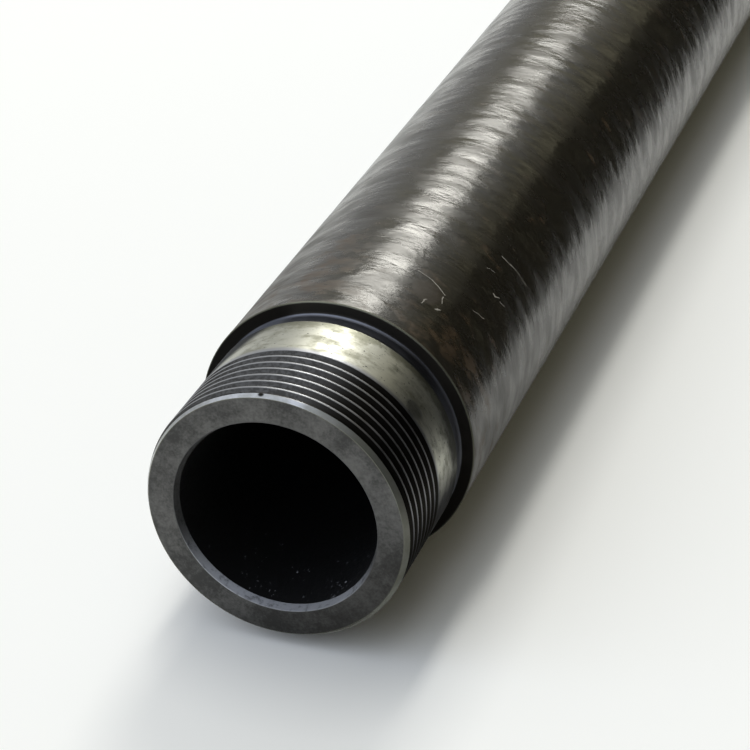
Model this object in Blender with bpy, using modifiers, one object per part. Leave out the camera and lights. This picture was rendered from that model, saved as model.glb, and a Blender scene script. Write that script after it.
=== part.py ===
"""Oil well tubing: a short length of heavy steel tube with a threaded pin, lying on its side.

The tube lies along +Y, with its pin towards -Y. All sizes are in metres. The section is drawn
and turned about Z, with the pin's end face at height 0, and the finished tube is then laid down.
"""

import math

import bmesh
import bpy
from mathutils import Matrix

# Tube
TUBE_LENGTH = 0.610
OUTER_DIAMETER = 0.07303
WALL_THICKNESS = 0.01118
PLAIN_END_BEVEL = 0.0016
PLAIN_END_DEBURR = 0.0008

# Pin, from its end face to the shoulder
PIN_LENGTH = 0.0431
SHOULDER_HEIGHT = 0.0028
SHOULDER_EDGE_RADIUS = 0.0005
NOSE_CHAMFER_LENGTH = 0.0016
NOSE_ROOT_CLEARANCE = 0.0001
BORE_CHAMFER_HEIGHT = 0.0007
BORE_CHAMFER_LENGTH = 0.0022

# Relief groove between the shank and the shoulder
RELIEF_WIDTH = 0.0052
RELIEF_DEPTH = 0.00085
RELIEF_RAMP_LENGTH = 0.0019
RELIEF_FILLET_RADIUS = 0.0011

# Right-hand thread of eight turns to the inch, measured from the pin's end face
THREAD_PITCH = 0.003175
THREAD_LENGTH = 0.0229
THREAD_CREST_FLAT = 0.0006
THREAD_ROOT_FLAT = 0.0007
THREAD_FLANK_ANGLE = math.radians(45)
RUN_OUT_ARC = math.radians(72)
RUN_OUT_END_ANGLE = math.radians(113)

# Fineness of the round surfaces
SEGMENTS = 64
FILLET_STEPS = 5
EDGE_STEPS = 3
SHARP_ANGLE = math.radians(20)
CUTTER_OVERSHOOT = 0.0004
MERGE_DISTANCE = 0.00001

# Finishes of the steel
MILL_SCALE_COLOUR = (0.055, 0.050, 0.045, 1.0)
MILL_SCALE_ROUGHNESS = 0.36
MACHINED_COLOUR = (0.33, 0.33, 0.31, 1.0)
MACHINED_ROUGHNESS = 0.30
STEEL_METALLIC = 0.9

outer_radius = OUTER_DIAMETER / 2
bore_radius = outer_radius - WALL_THICKNESS
pin_radius = outer_radius - SHOULDER_HEIGHT
relief_radius = pin_radius - RELIEF_DEPTH
thread_depth = (THREAD_PITCH - THREAD_CREST_FLAT - THREAD_ROOT_FLAT) / 2 / math.tan(THREAD_FLANK_ANGLE)
root_radius = pin_radius - thread_depth
nose_radius = root_radius - NOSE_ROOT_CLEARANCE
segment_angle = 2 * math.pi / SEGMENTS


def clear_scene():
    """Remove every object, so that the script starts from nothing."""
    for item in list(bpy.data.objects):
        bpy.data.objects.remove(item, do_unlink=True)


def make_collection(name):
    """Add a collection to the scene."""
    collection = bpy.data.collections.new(name)
    bpy.context.scene.collection.children.link(collection)
    return collection


def make_steel(name, colour, roughness):
    """Make one finish of the tube's steel."""
    material = bpy.data.materials.new(name)
    material.use_nodes = True
    shader = material.node_tree.nodes["Principled BSDF"]
    shader.inputs["Base Color"].default_value = colour
    shader.inputs["Roughness"].default_value = roughness
    shader.inputs["Metallic"].default_value = STEEL_METALLIC
    return material


def arc_points(centre, radius, start, end, steps):
    """Points on an arc in the section, from the start angle to the end angle."""
    points = []
    for step in range(steps + 1):
        angle = start + (end - start) * step / steps
        points.append((centre[0] + radius * math.cos(angle), centre[1] + radius * math.sin(angle)))
    return points


def plain_end_points():
    """The square-cut end, with its deburred bore and its bevelled outer edge."""
    return [
        (bore_radius, TUBE_LENGTH - PLAIN_END_DEBURR),
        (bore_radius + PLAIN_END_DEBURR, TUBE_LENGTH),
        (outer_radius - PLAIN_END_BEVEL, TUBE_LENGTH),
        (outer_radius, TUBE_LENGTH - PLAIN_END_BEVEL),
    ]


def shoulder_points():
    """The shoulder's rounded edge, its flat face and the relief groove beside it."""
    edge_centre = (outer_radius - SHOULDER_EDGE_RADIUS, PIN_LENGTH + SHOULDER_EDGE_RADIUS)
    edge = arc_points(edge_centre, SHOULDER_EDGE_RADIUS, 0, -math.pi / 2, EDGE_STEPS)
    fillet_centre = (relief_radius + RELIEF_FILLET_RADIUS, PIN_LENGTH - RELIEF_FILLET_RADIUS)
    fillet = arc_points(fillet_centre, RELIEF_FILLET_RADIUS, math.pi / 2, math.pi, FILLET_STEPS)
    relief_start = PIN_LENGTH - RELIEF_WIDTH
    ramp = [(relief_radius, relief_start + RELIEF_RAMP_LENGTH), (pin_radius, relief_start)]
    return edge + fillet + ramp


def nose_points():
    """The pin's chamfered nose, its flat end face and the chamfer at the bore's mouth."""
    return [
        (pin_radius, NOSE_CHAMFER_LENGTH),
        (nose_radius, 0),
        (bore_radius + BORE_CHAMFER_HEIGHT, 0),
        (bore_radius, BORE_CHAMFER_LENGTH),
    ]


def groove_points():
    """The thread groove's section: its flat root, and flanks that run on past the crest."""
    open_radius = pin_radius + CUTTER_OVERSHOOT
    root_half = THREAD_ROOT_FLAT / 2
    open_half = root_half + (open_radius - root_radius) * math.tan(THREAD_FLANK_ANGLE)
    return [
        (open_radius, open_half),
        (open_radius, -open_half),
        (root_radius, -root_half),
        (root_radius, root_half),
    ]


def section_object(name, points, collection):
    """Make a closed outline of edges in the XZ plane, from pairs of radius and height."""
    mesh = bpy.data.meshes.new(name)
    section = bmesh.new()
    corners = [section.verts.new((radius, 0, height)) for radius, height in points]
    for start, end in zip(corners, corners[1:] + corners[:1]):
        section.edges.new((start, end))
    section.to_mesh(mesh)
    section.free()
    item = bpy.data.objects.new(name, mesh)
    collection.objects.link(item)
    return item


def add_screw(item, turns, rise):
    """Turn a section about Z: one closed turn, or several turns that climb by rise each."""
    screw = item.modifiers.new("turned_section", "SCREW")
    screw.axis = "Z"
    screw.angle = 2 * math.pi
    screw.steps = SEGMENTS
    screw.render_steps = SEGMENTS
    screw.iterations = turns
    screw.screw_offset = rise
    screw.use_merge_vertices = rise == 0
    screw.merge_threshold = MERGE_DISTANCE


def apply_modifiers(item):
    """Give an object its modified mesh, and take its modifiers off."""
    modified = item.evaluated_get(bpy.context.evaluated_depsgraph_get())
    mesh = bpy.data.meshes.new_from_object(modified)
    item.modifiers.clear()
    item.data = mesh


def draw_out(corner, turns):
    """Move a corner of the groove outwards where the tool leaves the metal."""
    angle_share = math.atan2(corner.co.y, corner.co.x) / (2 * math.pi)
    turn = round(corner.co.z / THREAD_PITCH - angle_share) + angle_share
    share = 1 - (turns - turn) * 2 * math.pi / RUN_OUT_ARC
    if share > 0:
        lift = share * (thread_depth + CUTTER_OVERSHOOT)
        stretch = 1 + lift / math.hypot(corner.co.x, corner.co.y)
        corner.co.x *= stretch
        corner.co.y *= stretch


def make_thread_cutter(cutters):
    """Make the helical groove as a solid, with a run-out at its last turn and both ends closed.

    The groove's corners lie half a facet from the tube's own, so that no two edges coincide.
    """
    turns = math.ceil(THREAD_LENGTH / THREAD_PITCH) + 1
    cutter = section_object("thread_groove_cutter", groove_points(), cutters)
    add_screw(cutter, turns, THREAD_PITCH)
    apply_modifiers(cutter)
    groove = bmesh.new()
    groove.from_mesh(cutter.data)
    for corner in groove.verts:
        draw_out(corner, turns)
    bmesh.ops.holes_fill(groove, edges=groove.edges, sides=0)
    bmesh.ops.recalc_face_normals(groove, faces=groove.faces)
    groove.to_mesh(cutter.data)
    groove.free()
    cutter.location.z = THREAD_LENGTH - turns * THREAD_PITCH
    cutter.rotation_euler.z = (math.floor(RUN_OUT_END_ANGLE / segment_angle) + 0.5) * segment_angle
    cutter.hide_render = True
    cutter.display_type = "WIRE"
    return cutter


def cut_thread(tubing, cutter):
    """Cut the groove into the pin."""
    cutter.parent = tubing
    thread = tubing.modifiers.new("cut_thread", "BOOLEAN")
    thread.operation = "DIFFERENCE"
    thread.solver = "EXACT"
    thread.object = cutter
    apply_modifiers(tubing)


def finish_surfaces(tubing):
    """Shade the round surfaces smooth, and give the pin its machined finish."""
    mesh = tubing.data
    mesh.materials.clear()
    mesh.materials.append(make_steel("mill_scale_steel", MILL_SCALE_COLOUR, MILL_SCALE_ROUGHNESS))
    mesh.materials.append(make_steel("machined_steel", MACHINED_COLOUR, MACHINED_ROUGHNESS))
    for face in mesh.polygons:
        radius = math.hypot(face.center.x, face.center.y)
        on_pin = face.center.z < PIN_LENGTH + MERGE_DISTANCE and radius > bore_radius
        face.material_index = 1 if on_pin else 0
    mesh.shade_smooth()
    mesh.set_sharp_from_angle(angle=SHARP_ANGLE)


def make_tubing(parts, cutters):
    """Turn the tube's wall, cut the thread into its pin and finish its surfaces."""
    outline = plain_end_points() + shoulder_points() + nose_points()
    tubing = section_object("tubing", outline, parts)
    add_screw(tubing, 1, 0)
    cut_thread(tubing, make_thread_cutter(cutters))
    finish_surfaces(tubing)
    return tubing


def lay_down(tubing):
    """Lay the tube along +Y on the lowest of its facets, centred over the origin."""
    axis_height = outer_radius * math.cos(segment_angle / 2)
    place = Matrix.Translation((0, -TUBE_LENGTH / 2, axis_height))
    lying = Matrix.Rotation(-math.pi / 2, 4, "X")
    facet_down = Matrix.Rotation(segment_angle / 2, 4, "Z")
    tubing.matrix_world = place @ lying @ facet_down


def main():
    """Build the tubing."""
    clear_scene()
    parts = make_collection("oil_well_tubing")
    cutters = make_collection("cutters")
    lay_down(make_tubing(parts, cutters))


main()
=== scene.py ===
"""Oil well tubing: a heavy steel tube with a turned and threaded pin, lying on a pale floor.

The tube lies along +Y with its pin towards -Y. It is drawn and turned about Z, with the pin's end
face at height 0, and the finished tube is then laid down. All sizes are in metres.
"""

import math

import bmesh
import bpy
from bpy.props import FloatProperty, FloatVectorProperty, IntProperty, PointerProperty
from mathutils import Matrix, Vector, noise


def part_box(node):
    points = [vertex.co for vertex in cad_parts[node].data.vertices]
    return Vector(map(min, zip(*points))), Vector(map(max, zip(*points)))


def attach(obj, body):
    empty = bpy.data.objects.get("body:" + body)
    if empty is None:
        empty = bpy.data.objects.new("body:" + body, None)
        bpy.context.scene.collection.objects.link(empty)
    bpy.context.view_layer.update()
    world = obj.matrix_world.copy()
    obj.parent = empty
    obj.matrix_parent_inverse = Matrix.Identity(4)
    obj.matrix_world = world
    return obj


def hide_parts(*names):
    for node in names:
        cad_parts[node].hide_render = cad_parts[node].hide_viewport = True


bl_info = {
    "name": "Oil well tubing",
    "version": (1, 0, 0),
    "blender": (4, 5, 0),
    "location": "3D View > Sidebar > Tubing",
    "description": "Makes a threaded length of well tubing in worn steel, with its floor, light and camera",
    "category": "Add Mesh",
}

# Points are joined within this distance, which is below the smallest step of the thread's mesh
JOIN_DISTANCE = 0.00001

# A point as near as this to a level lies on it
PLANE_DISTANCE = 0.000001

# Faces that meet at less than this angle are shaded as one smooth surface
SMOOTH_ANGLE = math.radians(38)

# Every edge of the tube's section that is longer than the first number gets the second number of
# cuts. The last cuts are made on the outside only, to carry its ripples.
LONG_CUTS = ((0.3, 5), (0.05, 11))
RIPPLE_CUTS = (0.004, 3)

# Flats and ripples that rolling left: their repeats in a metre, across the tube and along it, and
# the length over which they fade out at its ends
FLATS = (38, 42)
RIPPLES = (60, 210)
EDGE_FADE = 0.004

# The finishes, in the order in which the piece carries them
MILL_SCALE, TURNED_STEEL, END_FACE, BORE_SCALE = range(4)

# Scratches from one place to another, with their width, all in millimetres: each place is given
# round the tube from its top to the right, and along it from the pin's end face
SCRATCHES = (
    ((12.5, 71.3), (17.0, 70.5), 0.16),
    ((17.0, 70.5), (21.8, 68.2), 0.22),
    ((21.8, 66.9), (22.3, 64.3), 0.22),
    ((22.9, 61.2), (22.0, 60.0), 0.26),
    ((18.2, 58.6), (18.6, 61.6), 0.20),
    ((28.6, 101.9), (33.0, 102.8), 0.22),
    ((33.4, 103.0), (39.2, 103.7), 0.12),
    ((32.4, 85.6), (34.4, 86.9), 0.24),
    ((35.2, 86.0), (36.9, 87.0), 0.20),
    ((26.6, 92.2), (29.4, 93.4), 0.10),
    ((30.2, 72.4), (34.0, 74.0), 0.12),
)
MILLIMETRE = 0.001

# Place and size of each light, across the tube and along it, as shares of the lights' height
LONG_LIGHT = ((-0.233, 1.3), (0.495, 0.9))
OVERHEAD_LIGHT = ((-0.12, 0.18), (0.12, 0.5))

# The dark card that the tube reflects, with the place of its middle along Y
CARD_HEIGHT = 0.16
CARD_LENGTH = 2.4
CARD_MIDDLE = 0.5
CARD_COLOUR = (0.02, 0.019, 0.016)

# The camera's place, the way it looks and the width of its film in millimetres
CAMERA_PLACE = (0.18376, -0.76179, 0.35073)
CAMERA_DIRECTION = (-0.285851, 0.824598, -0.488188)
FILM_WIDTH = 36.0

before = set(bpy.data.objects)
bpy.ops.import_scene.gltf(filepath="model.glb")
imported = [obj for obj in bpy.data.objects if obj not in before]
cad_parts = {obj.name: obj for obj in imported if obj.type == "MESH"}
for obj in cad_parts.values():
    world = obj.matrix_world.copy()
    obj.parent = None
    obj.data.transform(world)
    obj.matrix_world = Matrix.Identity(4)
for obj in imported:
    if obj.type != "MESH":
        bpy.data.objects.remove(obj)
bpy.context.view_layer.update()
tube_low, tube_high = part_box("tubing")


def length_property(name, description, default):
    """A length that the user can change."""
    return FloatProperty(
        name=name, description=description, default=default, min=0.0, precision=5, unit="LENGTH"
    )


def angle_property(name, description, degrees):
    """An angle that the user can change, given in degrees."""
    return FloatProperty(name=name, description=description, default=math.radians(degrees), subtype="ANGLE")


def number_property(name, description, default):
    """A plain number that the user can change, such as a brightness."""
    return FloatProperty(name=name, description=description, default=default, min=0.0)


def count_property(name, description, default, painted_underside_shade):
    """A whole number that the user can change."""
    return IntProperty(name=name, description=description, default=default, min=painted_underside_shade)


def colour_property(name, description, default):
    """A colour that the user can change."""
    return FloatVectorProperty(
        name=name, description=description, default=default, size=3, min=0.0, max=1.0, subtype="COLOR"
    )


class TubingSizes(bpy.types.PropertyGroup):
    """Sizes of the tube, its pin and its thread."""

    length: length_property("Length", "Length of the tube with its pin", tube_high.y - tube_low.y)
    radius: length_property("Radius", "Outer radius of the tube", (tube_high.x - tube_low.x) / 2)
    bore_radius: length_property("Bore radius", "Inner radius of the tube", 0.02532)
    plain_bevel: length_property("Plain end bevel", "Bevel of the plain end's outer edge", 0.0016)
    plain_deburr: length_property("Plain end deburr", "Chamfer of the plain end's bore", 0.0008)
    pin_length: length_property("Pin length", "From the pin's end face to the shoulder", 0.0431)
    pin_radius: length_property("Pin radius", "Radius of the shank and of the thread's crests", 0.0337)
    nose_radius: length_property("Nose radius", "Radius of the pin's end face", 0.03264)
    nose_length: length_property("Nose length", "Length of the cone at the pin's end", 0.0016)
    bore_chamfer: length_property("Bore chamfer", "Height of the chamfer at the pin's bore", 0.0007)
    bore_chamfer_length: length_property("Bore chamfer length", "Its length along the bore", 0.0022)
    relief_width: length_property("Relief width", "Width of the groove beside the shoulder", 0.0052)
    relief_depth: length_property("Relief depth", "Depth of the groove beside the shoulder", 0.00085)
    relief_ramp: length_property("Relief ramp", "Length of the slope into that groove", 0.0019)
    relief_fillet: length_property("Relief fillet", "Radius between that groove and the shoulder", 0.0011)
    shoulder_edge: length_property("Shoulder edge", "Radius of the shoulder's outer edge", 0.0005)
    corner_radius: length_property("Corner radius", "Radius that wear gives the other corners", 0.0002)
    pitch: length_property("Thread pitch", "Rise of the thread in one turn", 0.003175)
    thread_depth: length_property("Thread depth", "From the crests to the roots", 0.0009375)
    thread_length: length_property("Thread length", "From the end face to where the groove ends", 0.0229)
    crest_width: length_property("Crest width", "Width of the thread's crest", 0.0006)
    root_width: length_property("Root width", "Width of the groove's root", 0.0007)
    run_out_lift: length_property("Run-out lift", "How far the tool rises where the groove ends", 0.0013375)
    run_out_arc: angle_property("Run-out arc", "Turn over which the tool rises", 72)
    run_out_end: angle_property("Run-out end", "Where about the tube the groove ends", 115.3)
    rolling_depth: length_property("Rolling depth", "Depth of the ripples that rolling left", 0.00016)
    columns: count_property("Columns", "Faces around the tube", 144, 24)
    thread_rows: count_property("Thread rows", "Faces across one turn of the thread", 24, 8)


class TubingFinish(bpy.types.PropertyGroup):
    """Colours of the tube's steel."""

    mill_scale: colour_property("Mill scale", "Oiled scale on the tube", (0.0125, 0.0107, 0.0070))
    worn_scale: colour_property("Worn scale", "Scale that handling wore brighter", (0.031, 0.028, 0.019))
    rust: colour_property("Rust", "Brown patches near the shoulder", (0.056, 0.036, 0.019))
    oil: colour_property("Oil", "Tint of the oily gloss on the scale", (1.0, 0.98, 0.90))
    scratch: colour_property("Scratch", "Scratches down to the steel", (0.36, 0.34, 0.30))
    machined: colour_property("Machined steel", "The turned shank", (0.44, 0.44, 0.38))
    stained: colour_property("Stained steel", "Oil stain on the turned steel", (0.24, 0.24, 0.185))
    # Used for real grease and grime, and also as painted shade under the shank and in the grooves to the
    # right.
    grease_and_shade: colour_property("Grease", "Dark grease in the grooves", (0.021, 0.019, 0.016))
    groove: colour_property("Thread groove", "Steel inside the thread's groove", (0.082, 0.079, 0.073))
    # The relief's slope and bottom are lightened, and its bottom tinted pale blue, as a painted reflection
    # of the sky.
    ramp: colour_property("Relief slope", "Slope beside the shank's end", (0.13, 0.13, 0.135))
    relief: colour_property("Relief bottom", "Groove beside the shoulder", (0.17, 0.175, 0.195))
    # Used for oil in pits and stains, and also as painted shade on the sides and underside of the shank.
    film_and_shade: colour_property("Oil film", "Oil on the sides and underside of the shank", (0.040, 0.041, 0.043))
    # Also used as painted light on the lower part of the bore's lip.
    bright: colour_property("Bright steel", "Rubbed nose, crests and chamfers", (0.62, 0.63, 0.65))
    face: colour_property("End face", "The pin's dull end face", (0.053, 0.053, 0.052))
    worn_face: colour_property("Worn face", "Lighter marks on the end face", (0.132, 0.131, 0.127))
    bore: colour_property("Bore", "Scale inside the tube", (0.007, 0.007, 0.007))


class TubingStage(bpy.types.PropertyGroup):
    """Floor, light and camera."""

    floor_size: length_property("Floor size", "Side of the floor", 24.0)
    floor_colour: colour_property("Floor", "Colour of the floor", (0.95, 0.945, 0.90))
    lamp_height: length_property("Lamp height", "Height of both lights above the floor", 4.5)
    lamp_brightness: number_property("Lamp", "Brightness of the long light's face", 11.7)
    overhead_brightness: number_property("Overhead", "Brightness of the overhead light's face", 11.4)
    lamp_colour: colour_property("Lamp colour", "Colour of both lights", (1.0, 0.985, 0.94))
    pale_side: colour_property("Pale side", "Colour of the room to the left and above", (0.69, 0.70, 0.71))
    dark_side: colour_property("Dark side", "Colour of the room to the right", (0.50, 0.47, 0.34))
    front_side: colour_property("Front side", "Colour of the room in front", (0.76, 0.83, 0.97))
    front_brightness: number_property("Front", "Brightness of the room in front", 1.6)
    card_place: length_property("Card place", "From the tube's axis to the dark card at its right", 0.115)
    lens: number_property("Lens", "Focal length in millimetres", 117.49)


def start_line(name, radius, height):
    """Add an object that holds one point of a section, ready to be drawn on."""
    bpy.ops.object.select_all(action="DESELECT")
    bpy.ops.mesh.primitive_plane_add(size=0.001, location=(0, 0, 0))
    line = bpy.context.object
    line.name = name
    bpy.ops.object.mode_set(mode="EDIT")
    bpy.ops.mesh.select_mode(type="VERT")
    bpy.ops.mesh.select_all(action="SELECT")
    bpy.ops.mesh.merge(type="CENTER")
    bpy.ops.transform.translate(value=(radius, 0, height))
    return line


def draw_line(points):
    """Draw the section on through the given points, from the point that is selected."""
    for start, end in zip(points, points[1:]):
        move = (end[0] - start[0], 0, end[1] - start[1])
        bpy.ops.mesh.extrude_vertices_move(TRANSFORM_OT_translate={"value": move})


def divide_long_edges(line, length, cuts, radius=0.0):
    """Cut every edge of a section that is longer than a length and lies outside a radius."""
    bpy.ops.mesh.select_mode(type="EDGE")
    bpy.ops.mesh.select_all(action="DESELECT")
    mesh = bmesh.from_edit_mesh(line.data)
    for edge in mesh.edges:
        if edge.calc_length() > length and min(vert.co.x for vert in edge.verts) > radius:
            edge.select_set(True)
    mesh.select_flush_mode()
    bmesh.update_edit_mesh(line.data)
    bpy.ops.mesh.subdivide(number_cuts=cuts)
    bpy.ops.mesh.select_mode(type="VERT")


def turn_about_axis(item, columns, turns=1, rise=0.0):
    """Turn a section about Z, once round or as a screw, and apply it."""
    bpy.ops.object.mode_set(mode="OBJECT")
    screw = item.modifiers.new("turned", "SCREW")
    screw.axis = "Z"
    screw.angle = 2 * math.pi
    screw.steps = screw.render_steps = columns
    screw.iterations = turns
    screw.screw_offset = rise
    bpy.ops.object.modifier_apply(modifier=screw.name)
    bpy.ops.object.mode_set(mode="EDIT")
    bpy.ops.mesh.select_all(action="SELECT")
    bpy.ops.mesh.remove_doubles(threshold=JOIN_DISTANCE)


def rounded_line(corners, steps=4):
    """Points of a section whose corners, each a radius, a height and a rounding, are rounded off."""
    points = []
    places = [Vector(corner[:2]) for corner in corners]
    for index, (place, corner) in enumerate(zip(places, corners)):
        rounding = corner[2]
        if rounding == 0:
            points.append(tuple(place))
            continue
        back = (places[index - 1] - place).normalized()
        ahead = (places[index + 1] - place).normalized()
        half = back.angle(ahead) / 2
        centre = place + (back + ahead).normalized() * rounding / math.sin(half)
        start = place + back * rounding / math.tan(half) - centre
        end = place + ahead * rounding / math.tan(half) - centre
        for step in range(steps + 1):
            arm = start.lerp(end, step / steps).normalized() * rounding
            points.append(tuple(centre + arm))
    return points


def groove_height(sizes):
    """Height of the thread groove's middle at angle 0, on a whole step of the thread's mesh."""
    step = sizes.pitch / sizes.columns
    height = sizes.thread_length - sizes.pitch * sizes.run_out_end / (2 * math.pi)
    return round(height / step) * step


def thread_top(sizes):
    """Height above the last groove, on a whole step of the thread's mesh."""
    step = sizes.pitch / sizes.columns
    return math.ceil((sizes.thread_length + sizes.pitch / 2) / step) * step


def thread_radius(sizes, distance):
    """Radius of the thread at a distance from the groove's middle, its corners rounded by averaging."""
    total = 0.0
    samples = 9
    run = (sizes.pitch - sizes.crest_width - sizes.root_width) / 2
    for sample in range(samples):
        offset = (sample / (samples - 1) - 0.5) * sizes.crest_width / 2
        flank = abs(distance + offset) - sizes.root_width / 2
        total += min(max(flank / run, 0.0), 1.0)
    return sizes.pin_radius - sizes.thread_depth * (1 - total / samples)


def draw_thread(sizes):
    """Turn one pitch of the thread into a screw, and cut it level at both ends."""
    first = groove_height(sizes)
    first -= math.ceil(first / sizes.pitch + 1) * sizes.pitch
    points = []
    for row in range(sizes.thread_rows + 1):
        height = sizes.pitch * row / sizes.thread_rows
        distance = min(height, sizes.pitch - height)
        points.append((thread_radius(sizes, distance), first + height))
    thread = start_line("thread", *points[0])
    draw_line(points)
    turns = math.ceil((thread_top(sizes) - first) / sizes.pitch)
    turn_about_axis(thread, sizes.columns, turns, sizes.pitch)
    for height, lower in ((0.0, True), (thread_top(sizes), False)):
        bpy.ops.mesh.select_all(action="SELECT")
        bpy.ops.mesh.bisect(
            plane_co=(0, 0, height),
            plane_no=(0, 0, 1),
            clear_inner=lower,
            clear_outer=not lower,
            threshold=PLANE_DISTANCE,
        )
    bpy.ops.object.mode_set(mode="OBJECT")
    return thread


def end_thread(thread, sizes):
    """Lift the groove out of the steel where it ends, and turn the cone on the pin's nose."""
    slope = (sizes.pin_radius - sizes.nose_radius) / sizes.nose_length
    arc_share = sizes.run_out_arc / (2 * math.pi)
    start = groove_height(sizes) / sizes.pitch
    end = sizes.run_out_end / (2 * math.pi)
    for point in thread.data.vertices:
        place = point.co
        radius = math.hypot(place.x, place.y)
        angle_share = math.atan2(place.y, place.x) / (2 * math.pi)
        turn = round(place.z / sizes.pitch - start - angle_share) + angle_share - end
        lift = max(0.0, 1 + turn / arc_share) * sizes.run_out_lift
        cone = sizes.nose_radius + slope * place.z
        reach = min(radius + lift, sizes.pin_radius, cone)
        place.x *= reach / radius
        place.y *= reach / radius


def draw_tube(sizes):
    """Turn the rest of the tube, from the shank past both ends to the pin's end face."""
    relief = sizes.pin_length - sizes.relief_width
    relief_radius = sizes.pin_radius - sizes.relief_depth
    worn = sizes.corner_radius
    corners = [
        (sizes.pin_radius, thread_top(sizes), 0),
        (sizes.pin_radius, relief, 3 * worn),
        (relief_radius, relief + sizes.relief_ramp, 3 * worn),
        (relief_radius, sizes.pin_length, sizes.relief_fillet),
        (sizes.radius, sizes.pin_length, sizes.shoulder_edge),
        (sizes.radius, sizes.length - sizes.plain_bevel, 2 * worn),
        (sizes.radius - sizes.plain_bevel, sizes.length, worn),
        (sizes.bore_radius + sizes.plain_deburr, sizes.length, worn),
        (sizes.bore_radius, sizes.length - sizes.plain_deburr, worn),
        (sizes.bore_radius, sizes.bore_chamfer_length, 2 * worn),
        (sizes.bore_radius + sizes.bore_chamfer, 0, worn / 2),
        (sizes.nose_radius, 0, 0),
    ]
    points = rounded_line(corners)
    tube = start_line("tube", *points[0])
    draw_line(points)
    for length, cuts in LONG_CUTS:
        divide_long_edges(tube, length, cuts)
    divide_long_edges(tube, *RIPPLE_CUTS, sizes.pin_radius)
    turn_about_axis(tube, sizes.columns)
    bpy.ops.object.mode_set(mode="OBJECT")
    return tube


def rolling_noise(place, repeats, shift=0.0):
    """Smooth noise at a place, with its repeats in a metre across the tube and along it."""
    across, along = repeats
    return noise.noise(Vector((place.x * across, place.y * across, place.z * along + shift)))


def roll_surface(tube, sizes):
    """Give the tube the shallow ripples and flats that hot rolling leaves, all below its radius."""
    for point in tube.data.vertices:
        place = point.co
        radius = math.hypot(place.x, place.y)
        if radius < sizes.radius - JOIN_DISTANCE or place.z < sizes.pin_length:
            continue
        away = min(place.z - sizes.pin_length, sizes.length - place.z)
        edge = min(1.0, away / EDGE_FADE)
        flats = rolling_noise(place, FLATS)
        ripples = rolling_noise(place, RIPPLES, 7)
        depth = sizes.rolling_depth * edge * (0.5 + 0.35 * flats + 0.22 * ripples)
        place.x *= 1 - max(depth, 0.0) / radius
        place.y *= 1 - max(depth, 0.0) / radius


def join_parts(thread, tube):
    """Join the thread to the tube at both of its ends, turn all faces outwards and shade smooth."""
    bpy.ops.object.select_all(action="DESELECT")
    thread.select_set(True)
    tube.select_set(True)
    bpy.context.view_layer.objects.active = tube
    bpy.ops.object.join()
    bpy.ops.object.mode_set(mode="EDIT")
    bpy.ops.mesh.select_all(action="SELECT")
    bpy.ops.mesh.remove_doubles(threshold=JOIN_DISTANCE)
    bpy.ops.mesh.normals_make_consistent(inside=False)
    bpy.ops.object.mode_set(mode="OBJECT")
    bpy.ops.object.shade_smooth_by_angle(angle=SMOOTH_ANGLE)
    return tube


def lay_down(piece, sizes):
    """Lay the tube along Y on the floor, centred over the origin, with its place in its mesh."""
    middle = (tube_low.y + tube_high.y) / 2
    place = Matrix.Translation((0, middle - sizes.length / 2, sizes.radius))
    piece.matrix_world = place @ Matrix.Rotation(-math.pi / 2, 4, "X")
    bpy.ops.object.select_all(action="DESELECT")
    piece.select_set(True)
    bpy.context.view_layer.objects.active = piece
    bpy.ops.object.transform_apply(location=True, rotation=True, scale=True)


def finish_at(sizes, height, radius):
    """Which finish a face gets, from the height and radius of its middle before it is laid down."""
    inside = sizes.bore_chamfer_length < height < sizes.length - sizes.plain_deburr
    if radius < sizes.bore_radius + JOIN_DISTANCE and inside:
        return BORE_SCALE
    if height < PLANE_DISTANCE or height > sizes.length - sizes.plain_deburr:
        return END_FACE
    if radius < sizes.nose_radius - sizes.thread_depth:
        return END_FACE
    if height < sizes.pin_length + sizes.shoulder_edge + JOIN_DISTANCE:
        return TURNED_STEEL
    return MILL_SCALE


def put_on_finishes(piece, sizes, finish):
    """Give each zone of the tube its own finish, by the place of its faces."""
    for make_finish in (make_mill_scale, make_turned_steel, make_end_face, make_bore_scale):
        piece.data.materials.append(make_finish(sizes, finish))
    for face in piece.data.polygons:
        middle = face.center
        face.material_index = finish_at(sizes, middle.z, math.hypot(middle.x, middle.y))


def add_node(tree, kind, inputs=None, **settings):
    """Add a node, with its settings, and a value or a link for each input that is named."""
    node = tree.nodes.new(kind)
    for name, value in settings.items():
        setattr(node, name, value)
    for name, value in (inputs or {}).items():
        if isinstance(value, bpy.types.NodeSocket):
            tree.links.new(value, node.inputs[name])
        else:
            node.inputs[name].default_value = value
    return node


def opaque(colour, strength=1.0):
    """A colour with its alpha, made lighter or darker where a strength is given."""
    return (*(side * strength for side in colour), 1.0)


def calculate(tree, operation, *values):
    """Work out a number from others."""
    return add_node(tree, "ShaderNodeMath", dict(enumerate(values)), operation=operation).outputs[0]


def blend_colours(tree, share, first, second):
    """Blend from the first colour to the second."""
    return add_node(tree, "ShaderNodeMix", {0: share, 6: first, 7: second}, data_type="RGBA").outputs[2]


def rise_between(tree, value, low, high, bottom=0.0, top=1.0):
    """Rise smoothly from bottom to top as a value goes from low to high."""
    inputs = {"Value": value, "From Min": low, "From Max": high, "To Min": bottom, "To Max": top}
    return add_node(tree, "ShaderNodeMapRange", inputs, interpolation_type="SMOOTHSTEP").outputs[0]


def mottle(tree, place, size, detail=3.0, roughness=0.5, seed=0.0):
    """Soft patches of about a size, given for each axis."""
    scale = [1 / side for side in size]
    mapping = add_node(
        tree, "ShaderNodeMapping", {"Vector": place, "Location": (seed, seed, seed), "Scale": scale}
    )
    inputs = {"Vector": mapping.outputs[0], "Scale": 1.0, "Detail": detail, "Roughness": roughness}
    return add_node(tree, "ShaderNodeTexNoise", inputs).outputs[0]


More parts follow.
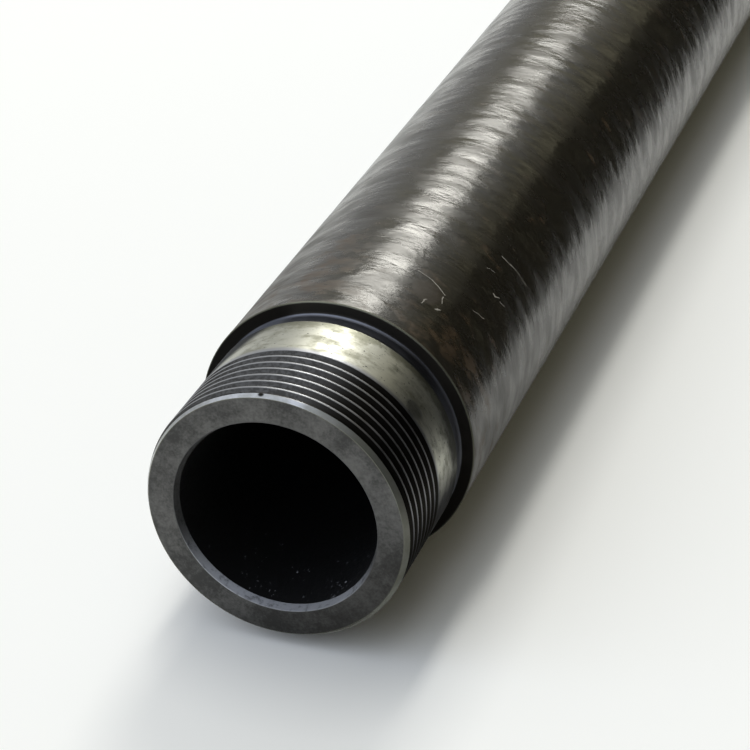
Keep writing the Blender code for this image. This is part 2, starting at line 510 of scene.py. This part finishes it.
def start_finish(name, sizes, metallic):
    """Make a finish, and give its node tree, its shader and the place about the tube's axis."""
    material = bpy.data.materials.new(name)
    material.use_nodes = True
    tree = material.node_tree
    shader = tree.nodes["Principled BSDF"]
    shader.inputs["Metallic"].default_value = metallic
    coordinates = add_node(tree, "ShaderNodeTexCoord")
    place = add_node(
        tree,
        "ShaderNodeMapping",
        {"Vector": coordinates.outputs["Object"], "Location": (0, 0, -sizes.radius)},
    ).outputs[0]
    return material, tree, shader, place


def radius_of(tree, place):
    """Distance from the tube's axis."""
    flat = add_node(tree, "ShaderNodeVectorMath", {0: place, 1: (1, 0, 1)}, operation="MULTIPLY")
    return add_node(tree, "ShaderNodeVectorMath", {0: flat.outputs[0]}, operation="LENGTH").outputs["Value"]


def unroll(tree, place, sizes):
    """Distance round the tube from its top, and distance along it from the pin's end face."""
    parts = add_node(tree, "ShaderNodeSeparateXYZ", {0: place})
    angle = calculate(tree, "ARCTAN2", parts.outputs["X"], parts.outputs["Z"])
    around = calculate(tree, "MULTIPLY", angle, sizes.radius)
    return around, calculate(tree, "ADD", parts.outputs["Y"], sizes.length / 2)


def stroke(tree, around, along, start, end, width):
    """A thin mark on the unrolled surface from one place to another."""
    middle = ((start[0] + end[0]) / 2, (start[1] + end[1]) / 2)
    length = math.dist(start, end)
    lean = ((end[0] - start[0]) / length, (end[1] - start[1]) / length)
    east = calculate(tree, "SUBTRACT", around, middle[0])
    north = calculate(tree, "SUBTRACT", along, middle[1])
    ahead = calculate(tree, "MULTIPLY_ADD", east, lean[0], calculate(tree, "MULTIPLY", north, lean[1]))
    aside = calculate(tree, "MULTIPLY_ADD", east, -lean[1], calculate(tree, "MULTIPLY", north, lean[0]))
    beyond = calculate(tree, "SUBTRACT", calculate(tree, "ABSOLUTE", ahead), length / 2)
    distance = calculate(tree, "MAXIMUM", calculate(tree, "ABSOLUTE", aside), beyond)
    return rise_between(tree, distance, width, width * 0.2)


def away_from(tree, around, along, middle, reach):
    """Squared distance from a place on the unrolled surface, where 1 is the edge of an oval patch."""
    east = calculate(tree, "MULTIPLY", calculate(tree, "SUBTRACT", around, middle[0]), 1 / reach[0])
    north = calculate(tree, "MULTIPLY", calculate(tree, "SUBTRACT", along, middle[1]), 1 / reach[1])
    return calculate(tree, "MULTIPLY_ADD", east, east, calculate(tree, "MULTIPLY", north, north))


def join_shader(tree, shader, colour, roughness, relief, depth):
    """Link a colour, a roughness and a relief of a given depth to the shader."""
    tree.links.new(colour, shader.inputs["Base Color"])
    tree.links.new(roughness, shader.inputs["Roughness"])
    bump = add_node(tree, "ShaderNodeBump", {"Height": relief, "Distance": depth, "Strength": 1.0})
    tree.links.new(bump.outputs[0], shader.inputs["Normal"])


def scratch_marks(tree, place, around, along):
    """Scratches and the bright edge of a pitted patch, all a little wavy."""
    wobble = mottle(tree, place, (0.002, 0.002, 0.002), 2.0, 0.5, 4.4)
    around = calculate(tree, "MULTIPLY_ADD", wobble, 0.0016, calculate(tree, "SUBTRACT", around, 0.0008))
    along = calculate(tree, "MULTIPLY_ADD", wobble, -0.0012, calculate(tree, "ADD", along, 0.0006))
    marks = 0.0
    for start, end, width in SCRATCHES:
        start = [side * MILLIMETRE for side in start]
        end = [side * MILLIMETRE for side in end]
        mark = stroke(tree, around, along, start, end, width * MILLIMETRE)
        marks = calculate(tree, "MAXIMUM", marks, mark)
    return marks


def share_of_rust(tree, sizes, around, along, patch):
    """Share of brown rust, which gathers near the shoulder and in one patch to the left."""
    near = rise_between(tree, along, sizes.pin_length + 0.045, sizes.pin_length)
    brown = rise_between(tree, away_from(tree, around, along, (-0.009, 0.066), (0.008, 0.020)), 1.6, 0.2)
    near = calculate(tree, "MAXIMUM", near, calculate(tree, "MULTIPLY", brown, 1.5))
    return rise_between(tree, calculate(tree, "MULTIPLY_ADD", near, 0.13, patch), 0.57, 0.85)


def rolled_relief(tree, place, around, dashes):
    """Height of the soft bands across the tube, which are calmer on its right side."""
    bands = mottle(tree, place, (0.0062, 0.0033, 0.0062), 2.0, 0.5, 5.7)
    swell = mottle(tree, place, (0.015, 0.008, 0.015), 1.0, 0.5, 6.8)
    grain = mottle(tree, place, (0.0009, 0.0009, 0.0009), 3.0, 0.6)
    relief = calculate(tree, "MULTIPLY_ADD", dashes, 0.28, bands)
    relief = calculate(tree, "MULTIPLY_ADD", swell, 2.4, relief)
    relief = calculate(tree, "MULTIPLY", relief, rise_between(tree, around, 0.030, 0.056, 1.0, 0.45))
    return calculate(tree, "MULTIPLY_ADD", grain, 0.06, relief)


def make_mill_scale(sizes, finish):
    """Oiled, dark mill scale in soft bands, with fine scratches and brown patches near the shoulder."""
    material, tree, shader, place = start_finish("mill_scale", sizes, 0.0)
    shader.inputs["Specular Tint"].default_value = opaque(finish.oil)
    around, along = unroll(tree, place, sizes)
    dashes = mottle(tree, place, (0.0022, 0.0009, 0.0022), 3.0, 0.6, 2.9)
    cloud = mottle(tree, place, (0.012, 0.007, 0.012), 3.0, 0.5, 3.1)
    patch = mottle(tree, place, (0.007, 0.005, 0.007), 5.0, 0.62, 9.2)
    wear = calculate(tree, "MULTIPLY_ADD", dashes, 0.5, calculate(tree, "MULTIPLY", cloud, 0.5))
    worn = rise_between(tree, wear, 0.50, 0.70)
    colour = blend_colours(tree, worn, opaque(finish.mill_scale), opaque(finish.worn_scale))
    rusty = share_of_rust(tree, sizes, around, along, patch)
    colour = blend_colours(tree, rusty, colour, opaque(finish.rust))
    spread = away_from(tree, around, along, (0.0178, 0.0648), (0.0042, 0.0050))
    spread = calculate(tree, "MULTIPLY_ADD", patch, 1.6, spread)
    pitted = rise_between(tree, spread, 2.1, 1.2, 0.0, 0.6)
    colour = blend_colours(tree, pitted, colour, opaque(finish.rust, 0.5))
    colour = blend_colours(tree, scratch_marks(tree, place, around, along), colour, opaque(finish.scratch))
    dull = rise_between(tree, along, sizes.pin_length + 0.11, sizes.pin_length + 0.01)
    sides = calculate(tree, "ABSOLUTE", calculate(tree, "SUBTRACT", around, 0.017))
    dull = calculate(tree, "MULTIPLY", dull, rise_between(tree, sides, 0.029, 0.045))
    roughness = rise_between(tree, cloud, 0.30, 0.68, 0.33, 0.18)
    roughness = calculate(tree, "MULTIPLY_ADD", rusty, 0.2, roughness)
    roughness = calculate(tree, "MULTIPLY_ADD", pitted, 0.35, roughness)
    roughness = calculate(tree, "MULTIPLY_ADD", dull, 0.2, roughness)
    relief = rolled_relief(tree, place, around, dashes)
    join_shader(tree, shader, colour, roughness, relief, 0.00018)
    return material


def colour_shank(tree, sizes, finish, around, along, stain, rings, pits):
    """Colour of the shank, stained towards the shoulder and pitted, with painted light right of its top,
    and of the thread's crests.
    """
    relief_start = sizes.pin_length - sizes.relief_width
    gather = rise_between(tree, along, relief_start - 0.004, relief_start)
    stained = calculate(tree, "MULTIPLY_ADD", gather, 0.24, stain)
    stained = calculate(tree, "MULTIPLY_ADD", rings, 0.15, stained)
    stained = rise_between(tree, stained, 0.50, 0.78)
    # Painted light: the shank is made lighter from just right of its top round to its right side.
    painted_light_right = rise_between(tree, around, 0.012, 0.022)
    colour = blend_colours(tree, painted_light_right, opaque(finish.machined), opaque(finish.machined, 1.4))
    colour = blend_colours(tree, stained, colour, opaque(finish.stained))
    colour = blend_colours(tree, rise_between(tree, pits, 0.66, 0.73), colour, opaque(finish.film_and_shade))
    crest = rise_between(tree, along, sizes.thread_length + sizes.pitch / 2, sizes.thread_length)
    colour = blend_colours(tree, crest, colour, opaque(finish.bright, 0.5))
    scraped = away_from(tree, around, along, (0.033, 0.026), (0.004, 0.003))
    scraped = calculate(tree, "MULTIPLY_ADD", stain, 2.0, scraped)
    scraped = rise_between(tree, scraped, 2.0, 1.4, 0.0, 0.6)
    return blend_colours(tree, scraped, colour, opaque(finish.film_and_shade))


def share_of_painted_shade(tree, sizes, around, along):
    """Share of painted shade on the shank: at its left, where it reflects the dark shoulder, at its far
    right and underneath.
    """
    aside = calculate(tree, "MULTIPLY_ADD", along, -0.8, calculate(tree, "ADD", around, 0.0275))
    left = rise_between(tree, aside, -0.0163, -0.0237)
    far = rise_between(tree, along, 0.030, 0.0355, 0.0, 0.7)
    far = calculate(tree, "MULTIPLY", far, rise_between(tree, around, 0.030, 0.043))
    behind_thread = rise_between(tree, along, sizes.thread_length - 0.001, sizes.thread_length + 0.001)
    shaded = calculate(tree, "MULTIPLY", calculate(tree, "MAXIMUM", left, far), behind_thread)
    under = rise_between(tree, calculate(tree, "ABSOLUTE", around), 0.049, 0.064)
    return calculate(tree, "MAXIMUM", shaded, under)


def colour_nose(tree, finish, around, along, stain, shade_on_right):
    """Colour of the pin's nose: rubbed bright, with painted shade on its right side, and one small nick."""
    mottled = rise_between(tree, stain, 0.35, 0.65, 0.0, 0.5)
    colour = blend_colours(tree, mottled, opaque(finish.bright), opaque(finish.stained))
    colour = blend_colours(tree, shade_on_right, colour, opaque(finish.stained))
    nick = away_from(tree, around, along, (-0.0032, 0.0008), (0.0009, 0.0005))
    return blend_colours(tree, rise_between(tree, nick, 1.4, 0.2), colour, opaque(finish.grease_and_shade))


def colour_grooves(tree, sizes, finish, around, along, pits, beyond):
    """Colour inside the thread's groove, grimy and with painted shade to the right, and of the slope and
    bottom of the one beside the shoulder, lightened as a painted reflection.
    """
    relief_start = sizes.pin_length - sizes.relief_width
    grime_and_shade = rise_between(tree, pits, 0.60, 0.40, 0.0, 0.5)
    # Painted shade: besides the grime in pits, the grooves darken to the right.
    grime_and_shade = calculate(tree, "MAXIMUM", grime_and_shade, rise_between(tree, around, 0.002, 0.020))
    colour = blend_colours(tree, grime_and_shade, opaque(finish.groove), opaque(finish.grease_and_shade))
    # Painted reflection: the relief's slope and bottom get lighter, bluish colours.
    beside = rise_between(tree, along, relief_start - 0.0005, relief_start)
    colour = blend_colours(tree, beside, colour, opaque(finish.ramp))
    return blend_colours(tree, beyond, colour, opaque(finish.relief))


def depth_in_pin(tree, sizes, radius, along):
    """Depth below the outside of the pin, which is a cone at its nose."""
    slope = (sizes.pin_radius - sizes.nose_radius) / sizes.nose_length
    cone = calculate(tree, "MULTIPLY_ADD", along, slope, sizes.nose_radius)
    return calculate(tree, "SUBTRACT", calculate(tree, "MINIMUM", cone, sizes.pin_radius), radius)


def make_turned_steel(sizes, finish):
    """Turned steel of the pin, stained on its shank, dark in its grooves and bright on its edges, with
    painted light and painted shade on its shank, nose and grooves.
    """
    material, tree, shader, place = start_finish("turned_steel", sizes, 1.0)
    radius = radius_of(tree, place)
    around, along = unroll(tree, place, sizes)
    stain = mottle(tree, place, (0.006, 0.004, 0.006), 4.0, 0.6, 1.3)
    rings = mottle(tree, place, (0.030, 0.0003, 0.030), 2.0, 0.5, 2.2)
    pits = mottle(tree, place, (0.0009, 0.0007, 0.0009), 2.0, 0.5, 6.4)
    colour = colour_shank(tree, sizes, finish, around, along, stain, rings, pits)
    # Painted shade: the shank's left end, far right and underside are darkened.
    painted_shade = share_of_painted_shade(tree, sizes, around, along)
    colour = blend_colours(tree, painted_shade, colour, opaque(finish.film_and_shade))
    # Painted shade: the shank's lowest sides, next to the floor, are darkened further.
    painted_underside_shade = rise_between(tree, calculate(tree, "ABSOLUTE", around), 0.058, 0.068, 0.0, 0.8)
    colour = blend_colours(tree, painted_underside_shade, colour, opaque(finish.grease_and_shade, 1 / 3))
    nose = rise_between(tree, along, sizes.nose_length + 0.0006, sizes.nose_length)
    # Painted shade: the nose turns darker towards its right side.
    shade_on_right = rise_between(tree, around, 0.006, 0.028, 0.0, 0.8)
    colour = blend_colours(tree, nose, colour, colour_nose(tree, finish, around, along, stain, shade_on_right))
    ramp_end = sizes.pin_length - sizes.relief_width + sizes.relief_ramp
    beyond = rise_between(tree, along, ramp_end - 0.0002, ramp_end + 0.0002)
    sunk = rise_between(tree, depth_in_pin(tree, sizes, radius, along), 0.00004, 0.00013)
    groove = colour_grooves(tree, sizes, finish, around, along, pits, beyond)
    colour = blend_colours(tree, sunk, colour, groove)
    # The shoulder's face and the top of its fillet are made dark.
    shoulder = rise_between(tree, radius, sizes.pin_radius - 0.0005, sizes.pin_radius - 0.0002)
    shoulder = calculate(tree, "MULTIPLY", shoulder, beyond)
    colour = blend_colours(tree, shoulder, colour, opaque(finish.grease_and_shade, 1.4))
    rim = rise_between(tree, radius, sizes.radius - 0.0004, sizes.radius - 0.0001)
    colour = blend_colours(tree, rim, colour, opaque(finish.stained))
    roughness = rise_between(tree, stain, 0.4, 0.7, 0.40, 0.50)
    roughness = calculate(tree, "MULTIPLY_ADD", calculate(tree, "MULTIPLY", nose, shade_on_right), 0.2, roughness)
    roughness = calculate(tree, "MULTIPLY_ADD", painted_shade, 0.4, roughness)
    roughness = calculate(tree, "MULTIPLY_ADD", shoulder, 0.2, roughness)
    relief = calculate(tree, "MULTIPLY_ADD", pits, -0.5, rings)
    join_shader(tree, shader, colour, roughness, relief, 0.00003)
    return material


def make_end_face(sizes, finish):
    """The dull end faces, with faint turning marks, lighter patches and rubbed edges, painted light on the
    lower part of the bore's lip, and darker towards the lower right.
    """
    material, tree, shader, place = start_finish("end_face", sizes, 1.0)
    radius = radius_of(tree, place)
    ring = add_node(tree, "ShaderNodeCombineXYZ", {0: radius}).outputs[0]
    marks = mottle(tree, ring, (0.00025, 1.0, 1.0), 2.0)
    patch = mottle(tree, place, (0.0022, 0.0022, 0.0022), 6.0, 0.7, 7.7)
    blotch = mottle(tree, place, (0.011, 0.011, 0.011), 2.0, 0.5, 2.4)
    grain = mottle(tree, place, (0.0007, 0.0007, 0.0007), 3.0, 0.6, 4.9)
    shade = calculate(tree, "MULTIPLY_ADD", blotch, 0.4, calculate(tree, "MULTIPLY", patch, 0.45))
    shade = calculate(tree, "MULTIPLY_ADD", grain, 0.22, shade)
    shade = calculate(tree, "MULTIPLY_ADD", marks, 0.10, shade)
    worn = rise_between(tree, shade, 0.46, 0.74)
    colour = blend_colours(tree, worn, opaque(finish.face), opaque(finish.worn_face))
    lip = sizes.bore_radius + sizes.bore_chamfer
    rubbed = rise_between(tree, radius, lip + 0.0003, lip)
    worn_edge = rise_between(tree, radius, sizes.nose_radius - 0.0003, sizes.nose_radius, 0.0, 0.6)
    colour = blend_colours(tree, worn_edge, colour, opaque(finish.stained))
    parts = add_node(tree, "ShaderNodeSeparateXYZ", {0: place})
    # Painted light: the lower part of the bore's lip is made bright.
    low = rise_between(tree, parts.outputs["Z"], -0.006, -0.020)
    lip_with_painted_light = blend_colours(tree, low, opaque(finish.worn_face), opaque(finish.bright))
    lip_with_painted_light = blend_colours(tree, rise_between(tree, patch, 0.5, 0.7, 0.0, 0.5), lip_with_painted_light, opaque(finish.face))
    colour = blend_colours(tree, rubbed, colour, lip_with_painted_light)
    # The face is made darker towards its lower right.
    lean = calculate(tree, "MULTIPLY", parts.outputs["Z"], -0.8)
    side = calculate(tree, "MULTIPLY_ADD", parts.outputs["X"], 0.55, lean)
    run = rise_between(tree, side, 0.008, 0.030, 0.0, 0.5)
    colour = blend_colours(tree, run, colour, opaque(finish.grease_and_shade))
    roughness = rise_between(tree, patch, 0.3, 0.7, 0.34, 0.46)
    roughness = calculate(tree, "MULTIPLY_ADD", rubbed, 0.45, roughness)
    relief = calculate(tree, "MULTIPLY_ADD", marks, 0.3, patch)
    join_shader(tree, shader, colour, roughness, relief, 0.00004)
    return material


def make_bore_scale(sizes, finish):
    """Dark scale inside the bore, with a few pale specks."""
    material, tree, shader, place = start_finish("bore_scale", sizes, 0.0)
    along = unroll(tree, place, sizes)[1]
    height = add_node(tree, "ShaderNodeSeparateXYZ", {0: place}).outputs["Z"]
    specks = mottle(tree, place, (0.0007, 0.0014, 0.0007), 2.0, 0.5, 8.1)
    low = rise_between(tree, height, -0.013, -0.022)
    low = calculate(tree, "MULTIPLY", low, rise_between(tree, along, 0.04, 0.01))
    cluster = mottle(tree, place, (0.007, 0.009, 0.007), 2.0, 0.5, 3.3)
    low = calculate(tree, "MULTIPLY", low, rise_between(tree, cluster, 0.50, 0.62))
    spotted = calculate(tree, "MULTIPLY", rise_between(tree, specks, 0.64, 0.72, 0.0, 0.5), low)
    colour = blend_colours(tree, spotted, opaque(finish.bore), opaque(finish.bright))
    roughness = rise_between(tree, specks, 0.3, 0.7, 0.5, 0.36)
    join_shader(tree, shader, colour, roughness, specks, 0.00004)
    return material


class MESH_OT_add_well_tubing(bpy.types.Operator):
    """Add the threaded length of tubing"""

    bl_idname = "mesh.add_well_tubing"
    bl_label = "Add well tubing"
    bl_options = {"REGISTER", "UNDO"}

    def execute(self, context):
        """Model the tube, lay it down and tie it to the frame."""
        sizes = context.scene.tubing_sizes
        tube = draw_tube(sizes)
        roll_surface(tube, sizes)
        thread = draw_thread(sizes)
        end_thread(thread, sizes)
        piece = join_parts(thread, tube)
        piece.name = "threaded_tubing"
        piece.data.name = piece.name
        put_on_finishes(piece, sizes, context.scene.tubing_finish)
        lay_down(piece, sizes)
        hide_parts("tubing")
        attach(piece, "root")
        return {"FINISHED"}


class SCENE_OT_add_tubing_stage(bpy.types.Operator):
    """Add the floor, the light and the camera"""

    bl_idname = "scene.add_tubing_stage"
    bl_label = "Add floor, light and camera"
    bl_options = {"REGISTER", "UNDO"}

    def execute(self, context):
        """Set up everything around the tube."""
        stage = context.scene.tubing_stage
        add_floor(stage)
        add_dark_card(stage)
        add_lamp(stage)
        add_overhead_light(stage)
        light_room(context.scene, stage)
        add_camera(context.scene, stage)
        context.scene.view_settings.view_transform = "Standard"
        return {"FINISHED"}


def make_matt(name, colour):
    """A material of one colour without any gloss."""
    material = bpy.data.materials.new(name)
    material.use_nodes = True
    shader = material.node_tree.nodes["Principled BSDF"]
    shader.inputs["Base Color"].default_value = opaque(colour)
    shader.inputs["Roughness"].default_value = 1.0
    shader.inputs["Specular IOR Level"].default_value = 0.0
    return material


def add_floor(stage):
    """Add the pale floor."""
    bpy.ops.object.select_all(action="DESELECT")
    bpy.ops.mesh.primitive_plane_add(size=stage.floor_size)
    floor = bpy.context.object
    floor.name = "floor"
    floor.data.materials.append(make_matt("pale_floor", stage.floor_colour))


def hang_light(name, stage, place, size, brightness):
    """Hang an area light that faces down, its place and size given as shares of its height."""
    height = stage.lamp_height
    across, along = (side * height for side in size)
    bpy.ops.object.light_add(type="AREA", location=(place[0] * height, place[1] * height, height))
    light = bpy.context.object
    light.name = name
    light.data.shape = "RECTANGLE"
    light.data.size = across
    light.data.size_y = along
    light.data.energy = math.pi * across * along * brightness
    light.data.color = stage.lamp_colour
    light.visible_camera = False
    return light


def add_lamp(stage):
    """Add the long light that hangs over the tube, to its left, and reaches far behind it."""
    hang_light("long_light", stage, *LONG_LIGHT, stage.lamp_brightness)


def add_overhead_light(stage):
    """Add the light above the tube, which lights the floor and leaves no glint on the steel."""
    light = hang_light("overhead_light", stage, *OVERHEAD_LIGHT, stage.overhead_brightness)
    light.visible_glossy = False


def add_dark_card(stage):
    """Stand a low dark card to the right, which the camera doesn't see, for the tube to reflect."""
    bpy.ops.object.select_all(action="DESELECT")
    bpy.ops.mesh.primitive_plane_add(
        size=1.0, location=(stage.card_place, CARD_MIDDLE, CARD_HEIGHT / 2), rotation=(0, math.pi / 2, 0)
    )
    card = bpy.context.object
    card.name = "dark_card"
    card.scale = (CARD_HEIGHT, CARD_LENGTH, 1.0)
    card.data.materials.append(make_matt("dark_felt", CARD_COLOUR))
    card.visible_camera = False
    card.visible_diffuse = False
    card.visible_shadow = False


def room_patch(tree, parts, *limits):
    """Share of one patch of the room: the product of its rises, each given as an axis and its limits."""
    share = 1.0
    for axis, *limit in limits:
        share = calculate(tree, "MULTIPLY", share, rise_between(tree, parts.outputs[axis], *limit))
    return share


def light_room(scene, stage):
    """Make the room pale to the left, above and in front of the tube, and dark to its right."""
    room = bpy.data.worlds.new("room")
    scene.world = room
    room.use_nodes = True
    tree = room.node_tree
    direction = add_node(tree, "ShaderNodeTexCoord").outputs["Generated"]
    parts = add_node(tree, "ShaderNodeSeparateXYZ", {0: direction})
    left = room_patch(
        tree, parts, ("X", -0.22, -0.55), ("Y", 0.20, 0.60, 0.15, 1.0), ("Z", 0.52, 0.75, 1.0, 0.1)
    )
    over = room_patch(tree, parts, ("Z", 0.64, 0.86, 0.0, 0.3), ("X", 0.45, 0.05))
    beside = room_patch(tree, parts, ("Z", 0.38, 0.52), ("X", 0.32, 0.13))
    front = room_patch(tree, parts, ("Y", 0.0, -0.30), ("X", 0.30, -0.05))
    low = room_patch(
        tree, parts, ("Z", 0.16, 0.27, 0.02, 1.0), ("Z", 0.30, 0.46, 1.0, 0.3), ("Y", 0.2, 0.7, 0.6, 1.0)
    )
    pale = calculate(tree, "MAXIMUM", left, calculate(tree, "MAXIMUM", over, beside))
    dark = blend_colours(tree, low, opaque((0, 0, 0)), opaque(stage.dark_side))
    colour = blend_colours(tree, pale, dark, opaque(stage.pale_side))
    colour = blend_colours(tree, front, colour, opaque(stage.front_side, stage.front_brightness))
    tree.links.new(colour, tree.nodes["Background"].inputs["Color"])


def add_camera(scene, stage):
    """Add the camera, close above the pin and looking along the tube."""
    bpy.ops.object.camera_add(location=CAMERA_PLACE)
    camera = bpy.context.object
    camera.name = "camera"
    forward = Vector(CAMERA_DIRECTION)
    camera.rotation_euler = forward.to_track_quat("-Z", "Y").to_euler()
    camera.data.lens = stage.lens
    camera.data.sensor_width = FILM_WIDTH
    camera.data.clip_start = 0.01
    camera.data.clip_end = 60.0
    scene.camera = camera


class VIEW3D_PT_well_tubing(bpy.types.Panel):
    """Panel with the tubing's operators, sizes and colours"""

    bl_idname = "VIEW3D_PT_well_tubing"
    bl_label = "Oil well tubing"
    bl_space_type = "VIEW_3D"
    bl_region_type = "UI"
    bl_category = "Tubing"

    def draw(self, context):
        """List the operators and what they use."""
        self.layout.operator(MESH_OT_add_well_tubing.bl_idname)
        self.layout.operator(SCENE_OT_add_tubing_stage.bl_idname)
        for group in (context.scene.tubing_sizes, context.scene.tubing_finish, context.scene.tubing_stage):
            box = self.layout.box()
            for name in group.__annotations__:
                box.prop(group, name)


classes = (
    TubingSizes,
    TubingFinish,
    TubingStage,
    MESH_OT_add_well_tubing,
    SCENE_OT_add_tubing_stage,
    VIEW3D_PT_well_tubing,
)


def register():
    """Register the classes, and give the scene its sizes and colours."""
    for cls in classes:
        bpy.utils.register_class(cls)
    bpy.types.Scene.tubing_sizes = PointerProperty(type=TubingSizes)
    bpy.types.Scene.tubing_finish = PointerProperty(type=TubingFinish)
    bpy.types.Scene.tubing_stage = PointerProperty(type=TubingStage)


def unregister():
    """Take the sizes, colours and classes away again."""
    del bpy.types.Scene.tubing_stage
    del bpy.types.Scene.tubing_finish
    del bpy.types.Scene.tubing_sizes
    for cls in reversed(classes):
        bpy.utils.unregister_class(cls)


def main():
    """Build the scene."""
    register()
    bpy.ops.mesh.add_well_tubing()
    bpy.ops.scene.add_tubing_stage()


if __name__ == "__main__":
    main()
